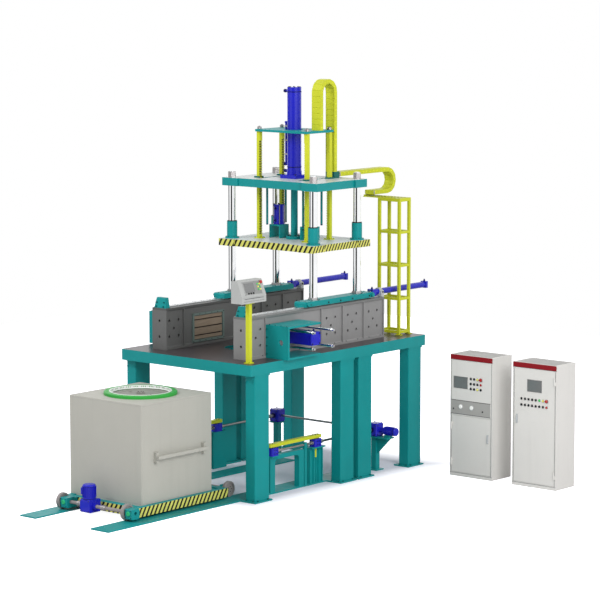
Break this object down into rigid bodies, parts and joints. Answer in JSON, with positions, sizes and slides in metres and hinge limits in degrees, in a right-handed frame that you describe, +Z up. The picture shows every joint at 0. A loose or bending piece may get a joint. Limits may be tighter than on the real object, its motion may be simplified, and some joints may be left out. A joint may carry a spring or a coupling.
{
  "type": "low-pressure die casting machine",
  "caption": "Die casting press frame sliding on rail beams over a column-borne base plate, with a furnace on a rail trolley below and control cabinets",
  "frame": {"origin": "bottom centre of the whole part's box, on the floor", "axes": "+Z up, -Y towards the machine's front where the furnace comes out, +X towards the machine's right-hand side and the control cabinets"},
  "size_m": [5.592, 7.28, 5.9129],
  "materials": {
    "teal": "satin",
    "column_teal": "satin",
    "blue": "gloss",
    "rail_dark": "satin",
    "rail_light": "satin",
    "chrome": "polished",
    "machined": "brushed",
    "core_tan": "matte",
    "yellow": "satin",
    "chain_yellow": "matte",
    "dark_green": "satin",
    "furnace_paint": "satin",
    "ring_green": "satin",
    "lid_grey": "matte",
    "hazard": "satin",
    "wheel_grey": "matte",
    "cabinet_paint": "satin",
    "desk_grey": "satin",
    "shaft_grey": "brushed"
  },
  "bodies": {
    "machine": {"base_plate": "teal", "columns": "column_teal", "left_rail": "rail_dark", "right_rail": "rail_light", "guide_strips": "chrome", "stop_blocks": "teal", "core_brackets": "teal", "core_cylinders": "blue", "core_frames": "machined", "rear_cylinders": "blue", "trunnions": "machined", "platen_chain": "chain_yellow", "chain_tower": "yellow", "console_post": "yellow", "console": "desk_grey", "floor_rails": "teal", "lift_gearboxes": "blue", "lift_stands": "teal", "lift_shafts": "shaft_grey", "lift_motor": "blue", "left_cabinet": "cabinet_paint", "right_cabinet": "cabinet_paint"},
    "carriage": {"carriage_bars": "teal", "tie_bars": "chrome", "tie_bar_nuts": "machined", "upper_platen": "teal", "main_cylinder": "blue", "stop_rods": "teal", "rack_guides": "dark_green", "crown_chain": "chain_yellow", "chain_bracket": "dark_green", "push_rods": "chrome"},
    "left_levelling_shaft": {"left_sync_shaft": "shaft_grey"},
    "right_levelling_shaft": {"right_sync_shaft": "shaft_grey"},
    "platen": {"moving_platen": "hazard", "guide_sleeves": "teal", "main_rod": "teal", "ejector_stands": "teal", "ejector_cylinders": "blue", "rack_rods": "yellow", "crown_plate": "teal"},
    "trolley": {"trolley_frame": "hazard", "furnace": "furnace_paint", "furnace_ring": "ring_green", "furnace_lid": "lid_grey", "wheel_housings": "teal", "trolley_motor": "blue"},
    "front_axle": {"front_wheels": "wheel_grey"},
    "rear_axle": {"rear_wheels": "wheel_grey"},
    "lift": {"lift_beams": "yellow"},
    "left_core": {"left_core_plate": "core_tan"},
    "right_core": {"right_core_plate": "core_tan"},
    "left_door": {"left_cabinet_door": "cabinet_paint"},
    "right_door": {"right_cabinet_door": "cabinet_paint"}
  },
  "joints": [
    {"name": "carriage_slide", "type": "slide", "parent": "machine", "child": "carriage", "axis": [0, -1, 0], "range_m": [0, 1.2]},
    {"name": "platen_slide", "type": "slide", "parent": "carriage", "child": "platen", "axis": [0, 0, 1], "range_m": [-0.55, 0]},
    {"name": "left_levelling_turn", "type": "hinge", "parent": "carriage", "child": "left_levelling_shaft", "pos_m": [-1.6072, 1.44, 4.368], "axis": [0, 1, 0], "range_deg": [-661, 5]},
    {"name": "right_levelling_turn", "type": "hinge", "parent": "carriage", "child": "right_levelling_shaft", "pos_m": [-0.8248, 1.44, 4.368], "axis": [0, 1, 0], "range_deg": [-5, 661]},
    {"name": "trolley_roll", "type": "slide", "parent": "machine", "child": "trolley", "axis": [0, 1, 0], "range_m": [0, 2.175]},
    {"name": "front_axle_turn", "type": "hinge", "parent": "trolley", "child": "front_axle", "pos_m": [-1.216, -2.952, 0.1353], "axis": [1, 0, 0], "range_deg": [-1088, 5]},
    {"name": "rear_axle_turn", "type": "hinge", "parent": "trolley", "child": "rear_axle", "pos_m": [-1.216, -0.85, 0.1353], "axis": [1, 0, 0], "range_deg": [-1088, 5]},
    {"name": "lift_raise", "type": "slide", "parent": "machine", "child": "lift", "axis": [0, 0, 1], "range_m": [0, 0.16]},
    {"name": "left_core_slide", "type": "slide", "parent": "machine", "child": "left_core", "axis": [1, 0, 0], "range_m": [0, 0.24]},
    {"name": "right_core_slide", "type": "slide", "parent": "machine", "child": "right_core", "axis": [-1, 0, 0], "range_m": [0, 0.24]},
    {"name": "left_door_hinge", "type": "hinge", "parent": "machine", "child": "left_door", "pos_m": [0.906, 2.57, 0.5], "axis": [0, 0, 1], "range_deg": [-105, 0]},
    {"name": "right_door_hinge", "type": "hinge", "parent": "machine", "child": "right_door", "pos_m": [2.764, 2.57, 0.9], "axis": [0, 0, 1], "range_deg": [0, 105]}
  ],
  "couplings": [
    {"joint": "left_levelling_turn", "follows": "platen_slide", "rad_per_m": 20.833},
    {"joint": "right_levelling_turn", "follows": "platen_slide", "rad_per_m": -20.833},
    {"joint": "front_axle_turn", "follows": "trolley_roll", "rad_per_m": -8.6957},
    {"joint": "rear_axle_turn", "follows": "trolley_roll", "rad_per_m": -8.6957}
  ]
}
